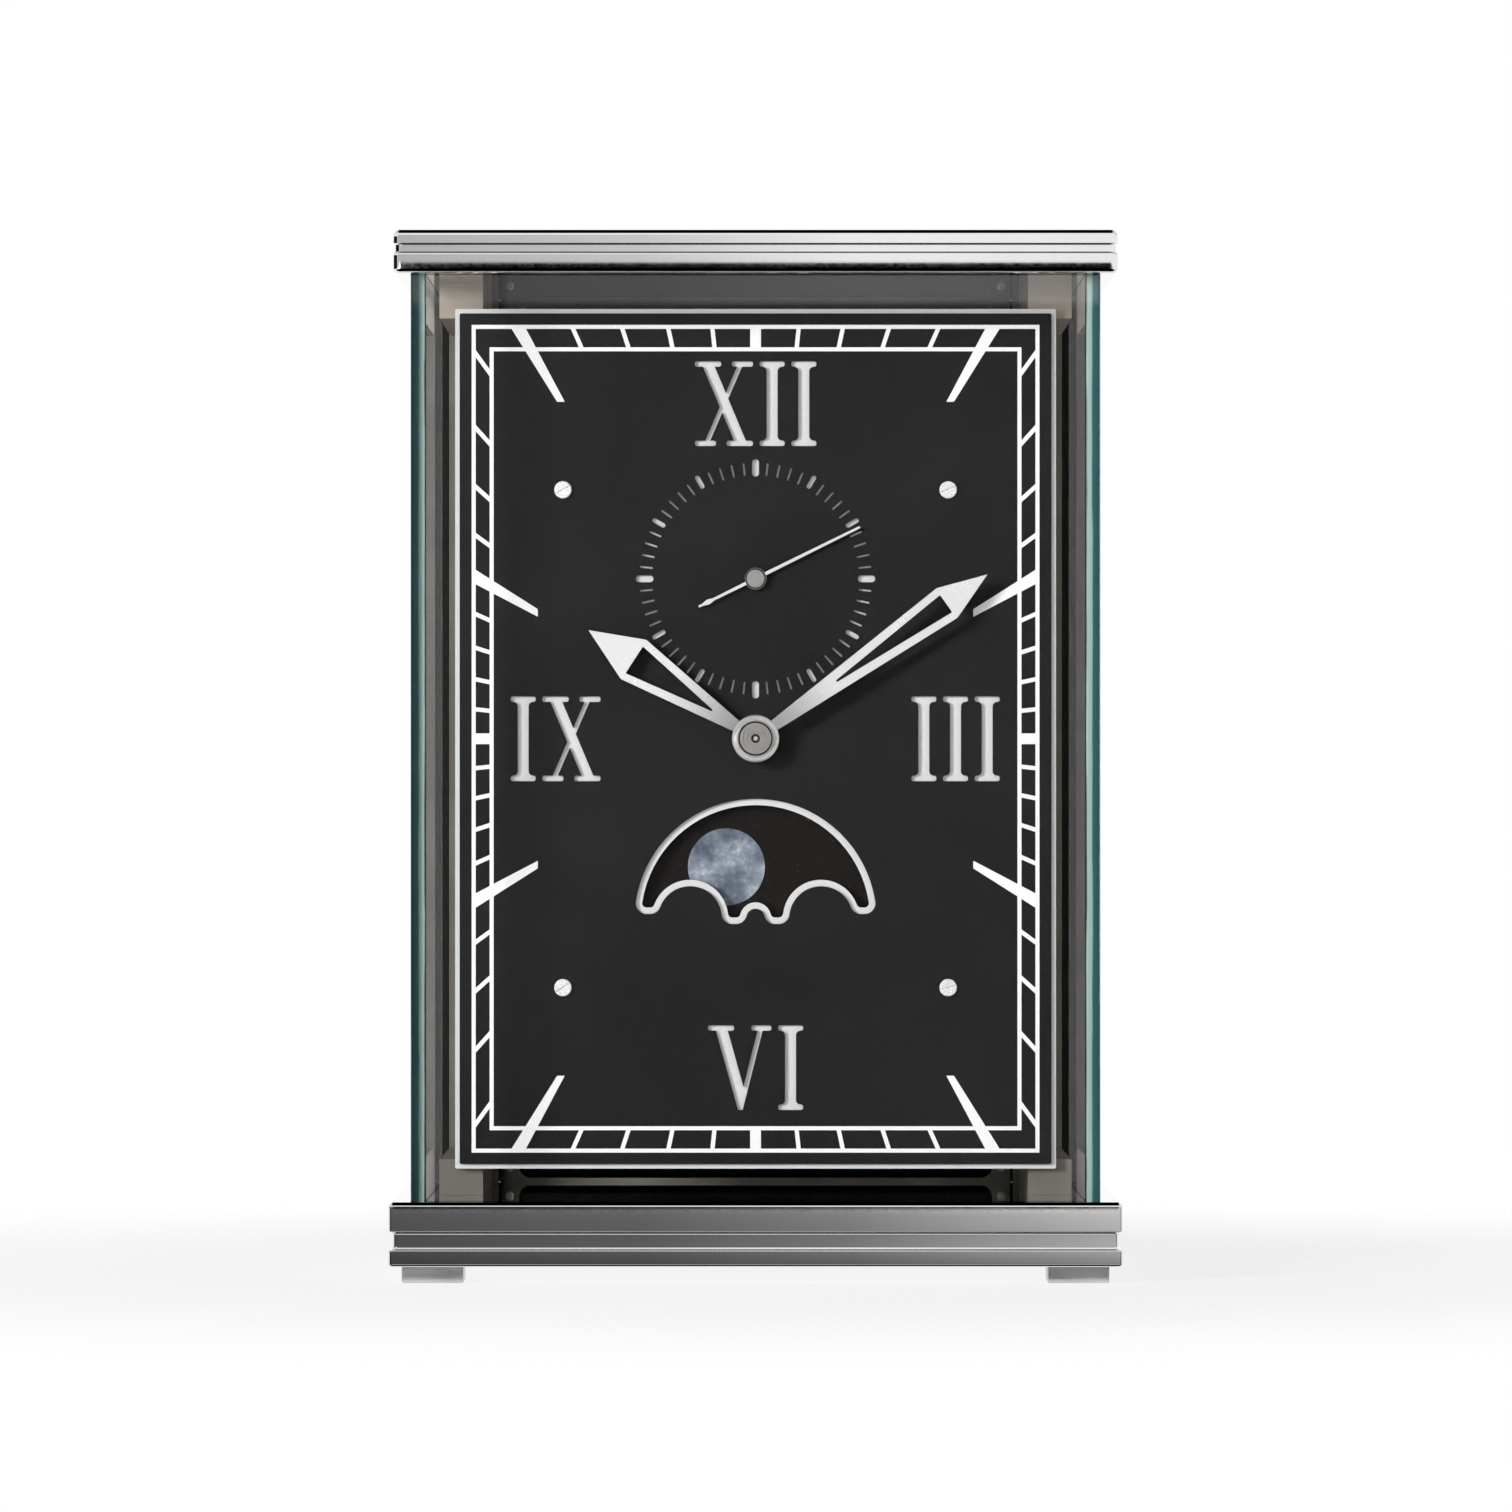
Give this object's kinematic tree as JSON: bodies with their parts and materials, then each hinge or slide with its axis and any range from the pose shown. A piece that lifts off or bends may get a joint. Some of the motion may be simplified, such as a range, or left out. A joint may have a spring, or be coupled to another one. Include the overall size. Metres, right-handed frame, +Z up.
{
  "type": "moon phase desk clock",
  "caption": "Glass-cased mechanical desk clock with a black cut-out dial, seconds ring, moon disc, polished cap and base, square feet and a hinged rear door.",
  "frame": {"origin": "under the middle of the base, on the surface the feet stand on", "axes": "+X to the right of the dial, -Y out of the dial towards the viewer, +Z up"},
  "size_m": [0.195, 0.145, 0.28],
  "materials": {
    "polished_nickel": "polished",
    "brushed_steel": "brushed",
    "polished_steel": "polished",
    "satin_alloy": "satin",
    "clear_glass": "polished, ground edges",
    "smoked_glass": "smoked",
    "dial_black": "fine matt lacquer",
    "dial_silver": "fine blasted",
    "dial_print": "printed",
    "moon_paint": "painted sky and moons",
    "hand_metal": "satin with bright bevels",
    "brass": "polished",
    "gilt_brass": "fine grained",
    "spring_steel": "blued",
    "ruby": "polished"
  },
  "bodies": {
    "case": {"base_block": "polished_nickel", "cap_block": "polished_nickel", "feet": "brushed_steel", "foot_screws": "polished_steel", "front_glass": "clear_glass", "left_glass": "clear_glass", "right_glass": "clear_glass", "lower_rails": "satin_alloy", "upper_rails": "satin_alloy", "case_screws": "polished_steel", "left_post": "satin_alloy", "right_post": "satin_alloy", "dial_uprights": "satin_alloy", "upright_screws": "polished_steel", "door_catch": "brushed_steel", "dial_plate": "dial_black", "minute_track": "dial_print", "dial_back_plate": "dial_silver", "dial_screws": "polished_steel", "dial_pillars": "brass", "front_plate": "gilt_brass", "back_plate": "gilt_brass", "plate_pillars": "brass", "pillar_screws": "polished_steel", "jewels": "ruby", "click_screw": "polished_steel", "escape_bridge": "gilt_brass", "balance_cock": "gilt_brass", "bridge_screws": "polished_steel", "motion_studs": "polished_steel"},
    "door": {"door_frame": "satin_alloy", "door_glass": "smoked_glass", "door_screws": "polished_steel", "door_hinge_pins": "polished_steel", "door_knob": "polished_nickel"},
    "centre": {"centre_arbor": "polished_steel", "centre_wheel": "brass", "setting_knob": "brass", "cannon_pinion": "polished_steel", "minute_hand": "hand_metal", "hand_nut": "hand_metal"},
    "hour": {"hour_wheel": "brass", "hour_hand": "hand_metal"},
    "minute_works": {"minute_wheel": "brass"},
    "moon_transfer": {"moon_transfer_wheel": "brass"},
    "moon": {"moon_disc": "moon_paint"},
    "intermediate": {"intermediate_wheel": "brass"},
    "barrel": {"barrel": "brass", "barrel_lid": "brass", "mainspring": "spring_steel"},
    "winding": {"barrel_arbor": "polished_steel", "ratchet_wheel": "polished_steel"},
    "click": {"click": "polished_steel"},
    "third": {"third_wheel": "brass"},
    "seconds": {"seconds_wheel": "brass", "seconds_hand": "hand_metal"},
    "escape": {"escape_wheel": "polished_steel"},
    "fork": {"pallet_fork": "polished_steel"},
    "balance": {"balance_wheel": "brass", "hairspring": "spring_steel"}
  },
  "joints": [
    {"name": "centre_turn", "type": "hinge", "parent": "case", "child": "centre", "pos_m": [0, 0, 0.145], "axis": [0, 1, 0], "continuous": true},
    {"name": "hour_turn", "type": "hinge", "parent": "case", "child": "hour", "pos_m": [0, 0, 0.145], "axis": [0, 1, 0], "continuous": true},
    {"name": "minute_wheel_turn", "type": "hinge", "parent": "case", "child": "minute_works", "pos_m": [-0.01039, 0, 0.151], "axis": [0, 1, 0], "continuous": true},
    {"name": "moon_transfer_turn", "type": "hinge", "parent": "case", "child": "moon_transfer", "pos_m": [0.01666, 0, 0.12773], "axis": [0, 1, 0], "continuous": true},
    {"name": "moon_turn", "type": "hinge", "parent": "case", "child": "moon", "pos_m": [0, 0, 0.0961], "axis": [0, 1, 0], "continuous": true},
    {"name": "intermediate_turn", "type": "hinge", "parent": "case", "child": "intermediate", "pos_m": [-0.022, 0, 0.13271], "axis": [0, 1, 0], "continuous": true},
    {"name": "barrel_turn", "type": "hinge", "parent": "case", "child": "barrel", "pos_m": [0.00323, 0, 0.11504], "axis": [0, 1, 0], "continuous": true},
    {"name": "third_turn", "type": "hinge", "parent": "case", "child": "third", "pos_m": [0.00346, 0, 0.16723], "axis": [0, 1, 0], "continuous": true},
    {"name": "seconds_turn", "type": "hinge", "parent": "case", "child": "seconds", "pos_m": [0, 0, 0.1882], "axis": [0, 1, 0], "continuous": true},
    {"name": "escape_turn", "type": "hinge", "parent": "case", "child": "escape", "pos_m": [0.01733, 0, 0.18514], "axis": [0, 1, 0], "continuous": true},
    {"name": "door_swing", "type": "hinge", "parent": "case", "child": "door", "pos_m": [-0.06875, 0.06365, 0.145], "axis": [0, 0, 1], "range_deg": [0, 90]},
    {"name": "winding_turn", "type": "hinge", "parent": "case", "child": "winding", "pos_m": [0.00323, 0, 0.11504], "axis": [0, 1, 0], "continuous": true},
    {"name": "click_lift", "type": "hinge", "parent": "case", "child": "click", "pos_m": [0.01073, 0, 0.12803], "axis": [0, -1, 0], "range_deg": [0, 12]},
    {"name": "fork_rock", "type": "hinge", "parent": "case", "child": "fork", "pos_m": [0.0262, 0, 0.18358], "axis": [0, 1, 0], "range_deg": [-5, 5]},
    {"name": "balance_swing", "type": "hinge", "parent": "case", "child": "balance", "pos_m": [0.039, 0, 0.18132], "axis": [0, 1, 0], "range_deg": [-135, 135]}
  ],
  "couplings": [
    {"joint": "hour_turn", "follows": "centre_turn", "ratio": 0.083333},
    {"joint": "minute_wheel_turn", "follows": "centre_turn", "ratio": -0.33333},
    {"joint": "moon_transfer_turn", "follows": "centre_turn", "ratio": -0.011905},
    {"joint": "moon_turn", "follows": "centre_turn", "ratio": 0.00070547},
    {"joint": "intermediate_turn", "follows": "centre_turn", "ratio": -0.16667},
    {"joint": "barrel_turn", "follows": "centre_turn", "ratio": 0.027778},
    {"joint": "third_turn", "follows": "centre_turn", "ratio": -8},
    {"joint": "seconds_turn", "follows": "centre_turn", "ratio": 60},
    {"joint": "escape_turn", "follows": "centre_turn", "ratio": -600}
  ]
}
